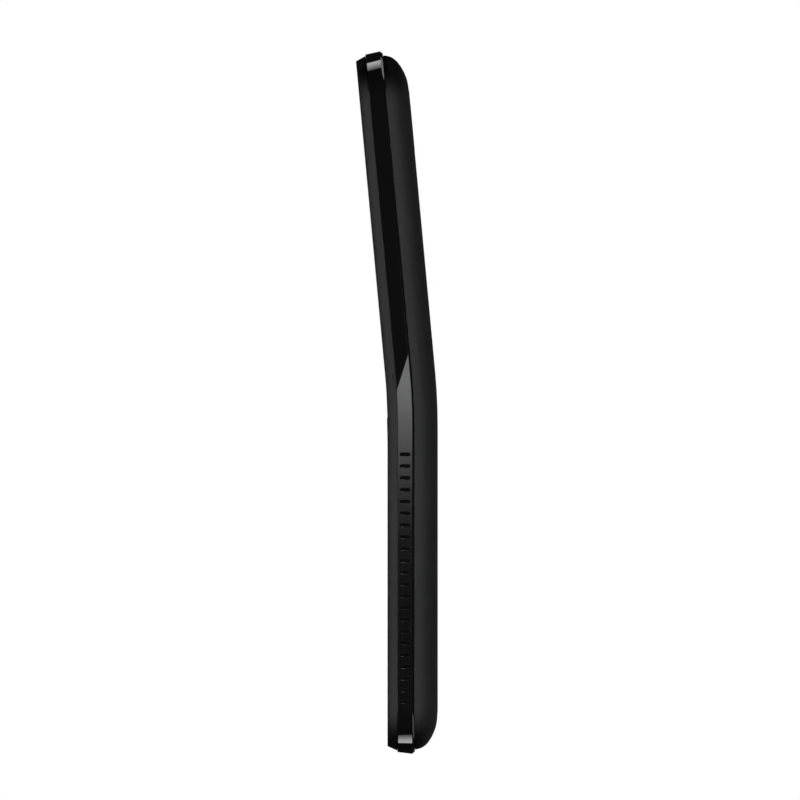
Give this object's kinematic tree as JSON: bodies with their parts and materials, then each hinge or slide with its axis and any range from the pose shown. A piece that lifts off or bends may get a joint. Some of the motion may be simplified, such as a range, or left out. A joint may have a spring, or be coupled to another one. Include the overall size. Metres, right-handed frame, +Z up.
{
  "type": "mobile phone",
  "caption": "Slim bar-shaped mobile phone bent gently forward at mid-length, with a display above, a keypad below, a side band with slotted grips and a lift-off rear cover.",
  "frame": {"origin": "on the floor under the middle of the upright phone: the centre of its bounding box, at its lower end", "axes": "+Z up along the phone to the earpiece end, -Y out of the display and keys, +Y out of the rear cover, +X to the right of someone who faces the keys"},
  "size_m": [0.053, 0.015, 0.128],
  "materials": {
    "front_black": "satin black moulded plastic",
    "band_chrome": "black chrome plating on plastic",
    "grip_metal": "satin gunmetal",
    "chassis_plastic": "glass-filled black plastic",
    "cover_black": "soft-touch black",
    "window_glass": "dark polished glass",
    "flash_clear": "clear diffuser",
    "lens_acrylic": "smoked polished acrylic",
    "foam_black": "foam tape",
    "steel_mesh": "dark woven mesh",
    "capsule_black": "black capsule",
    "display_glass": "dark display, switched off",
    "tray_steel": "pressed tray",
    "silicone": "translucent silicone",
    "dome_steel": "snap domes",
    "board_green": "green solder mask",
    "led_white": "white lamp body",
    "socket_steel": "tinned sheet",
    "capsule_steel": "tinned can",
    "battery_pack": "grey wrapped pack",
    "connector_black": "black block",
    "shield_steel": "tinned shield",
    "camera_black": "black barrel",
    "speaker_black": "black frame",
    "motor_steel": "drawn can",
    "weight_metal": "sintered weight",
    "antenna_gold": "plated sheet",
    "flex_amber": "amber film",
    "screw_steel": "blackened steel",
    "key_black": "moulded black key",
    "nav_black": "moulded dark key"
  },
  "bodies": {
    "phone": {"front_housing": "front_black", "side_band": "band_chrome", "grip_trim_right": "grip_metal", "grip_trim_left": "grip_metal", "chassis": "chassis_plastic", "display_lens": "lens_acrylic", "lens_gasket": "foam_black", "earpiece_mesh": "steel_mesh", "earpiece": "capsule_black", "lcd_panel": "display_glass", "backlight_unit": "tray_steel", "keypad_membrane": "silicone", "metal_domes": "dome_steel", "key_board": "board_green", "key_leds": "led_white", "usb_socket": "socket_steel", "microphone": "capsule_steel", "battery": "battery_pack", "battery_connector": "connector_black", "main_board": "board_green", "shield_can": "shield_steel", "sim_socket_1": "socket_steel", "sim_socket_2": "socket_steel", "card_socket": "socket_steel", "camera_module": "camera_black", "flash_led": "led_white", "loudspeaker": "speaker_black", "vibration_motor": "motor_steel", "antenna": "antenna_gold", "board_flex": "flex_amber", "display_flex": "flex_amber", "screws": "screw_steel"},
    "key_1": {"key_1": "key_black"},
    "key_2": {"key_2": "key_black"},
    "key_3": {"key_3": "key_black"},
    "key_4": {"key_4": "key_black"},
    "key_5": {"key_5": "key_black"},
    "key_6": {"key_6": "key_black"},
    "key_7": {"key_7": "key_black"},
    "key_8": {"key_8": "key_black"},
    "key_9": {"key_9": "key_black"},
    "key_star": {"key_star": "key_black"},
    "key_0": {"key_0": "key_black"},
    "key_hash": {"key_hash": "key_black"},
    "key_soft_left": {"key_soft_left": "key_black"},
    "key_soft_right": {"key_soft_right": "key_black"},
    "key_call": {"key_call": "key_black"},
    "key_end": {"key_end": "key_black"},
    "nav_up": {"nav_up": "nav_black"},
    "nav_left": {"nav_left": "nav_black"},
    "nav_down": {"nav_down": "nav_black"},
    "nav_right": {"nav_right": "nav_black"},
    "nav_select": {"nav_select": "nav_black"},
    "cover": {"rear_cover": "cover_black", "camera_window": "window_glass", "flash_window": "flash_clear"},
    "motor_weight": {"motor_weight": "weight_metal"}
  },
  "joints": [
    {"name": "key_1_press", "type": "slide", "parent": "phone", "child": "key_1", "axis": [0, 1, 0], "range_m": [0, 0.0003], "stiffness_N_per_m": 3000},
    {"name": "key_2_press", "type": "slide", "parent": "phone", "child": "key_2", "axis": [0, 1, 0], "range_m": [0, 0.0003], "stiffness_N_per_m": 3000},
    {"name": "key_3_press", "type": "slide", "parent": "phone", "child": "key_3", "axis": [0, 1, 0], "range_m": [0, 0.0003], "stiffness_N_per_m": 3000},
    {"name": "key_4_press", "type": "slide", "parent": "phone", "child": "key_4", "axis": [0, 1, 0], "range_m": [0, 0.0003], "stiffness_N_per_m": 3000},
    {"name": "key_5_press", "type": "slide", "parent": "phone", "child": "key_5", "axis": [0, 1, 0], "range_m": [0, 0.0003], "stiffness_N_per_m": 3000},
    {"name": "key_6_press", "type": "slide", "parent": "phone", "child": "key_6", "axis": [0, 1, 0], "range_m": [0, 0.0003], "stiffness_N_per_m": 3000},
    {"name": "key_7_press", "type": "slide", "parent": "phone", "child": "key_7", "axis": [0, 1, 0], "range_m": [0, 0.0003], "stiffness_N_per_m": 3000},
    {"name": "key_8_press", "type": "slide", "parent": "phone", "child": "key_8", "axis": [0, 1, 0], "range_m": [0, 0.0003], "stiffness_N_per_m": 3000},
    {"name": "key_9_press", "type": "slide", "parent": "phone", "child": "key_9", "axis": [0, 1, 0], "range_m": [0, 0.0003], "stiffness_N_per_m": 3000},
    {"name": "key_star_press", "type": "slide", "parent": "phone", "child": "key_star", "axis": [0, 1, 0], "range_m": [0, 0.0003], "stiffness_N_per_m": 3000},
    {"name": "key_0_press", "type": "slide", "parent": "phone", "child": "key_0", "axis": [0, 1, 0], "range_m": [0, 0.0003], "stiffness_N_per_m": 3000},
    {"name": "key_hash_press", "type": "slide", "parent": "phone", "child": "key_hash", "axis": [0, 1, 0], "range_m": [0, 0.0003], "stiffness_N_per_m": 3000},
    {"name": "key_soft_left_press", "type": "slide", "parent": "phone", "child": "key_soft_left", "axis": [0, 1, 0], "range_m": [0, 0.0003], "stiffness_N_per_m": 3000},
    {"name": "key_soft_right_press", "type": "slide", "parent": "phone", "child": "key_soft_right", "axis": [0, 1, 0], "range_m": [0, 0.0003], "stiffness_N_per_m": 3000},
    {"name": "key_call_press", "type": "slide", "parent": "phone", "child": "key_call", "axis": [0, 1, 0], "range_m": [0, 0.0003], "stiffness_N_per_m": 3000},
    {"name": "key_end_press", "type": "slide", "parent": "phone", "child": "key_end", "axis": [0, 1, 0], "range_m": [0, 0.0003], "stiffness_N_per_m": 3000},
    {"name": "nav_up_press", "type": "slide", "parent": "phone", "child": "nav_up", "axis": [0, 1, 0], "range_m": [0, 0.0003], "stiffness_N_per_m": 3000},
    {"name": "nav_left_press", "type": "slide", "parent": "phone", "child": "nav_left", "axis": [0, 1, 0], "range_m": [0, 0.0003], "stiffness_N_per_m": 3000},
    {"name": "nav_down_press", "type": "slide", "parent": "phone", "child": "nav_down", "axis": [0, 1, 0], "range_m": [0, 0.0003], "stiffness_N_per_m": 3000},
    {"name": "nav_right_press", "type": "slide", "parent": "phone", "child": "nav_right", "axis": [0, 1, 0], "range_m": [0, 0.0003], "stiffness_N_per_m": 3000},
    {"name": "nav_select_press", "type": "slide", "parent": "phone", "child": "nav_select", "axis": [0, 1, 0], "range_m": [0, 0.0003], "stiffness_N_per_m": 3000},
    {"name": "cover_lift", "type": "slide", "parent": "phone", "child": "cover", "axis": [0, 0.9989, 0.0462], "range_m": [0, 0.02]},
    {"name": "weight_spin", "type": "hinge", "parent": "phone", "child": "motor_weight", "pos_m": [0.0086, 0.00031, 0.10256], "axis": [1, 0, 0], "continuous": true}
  ]
}
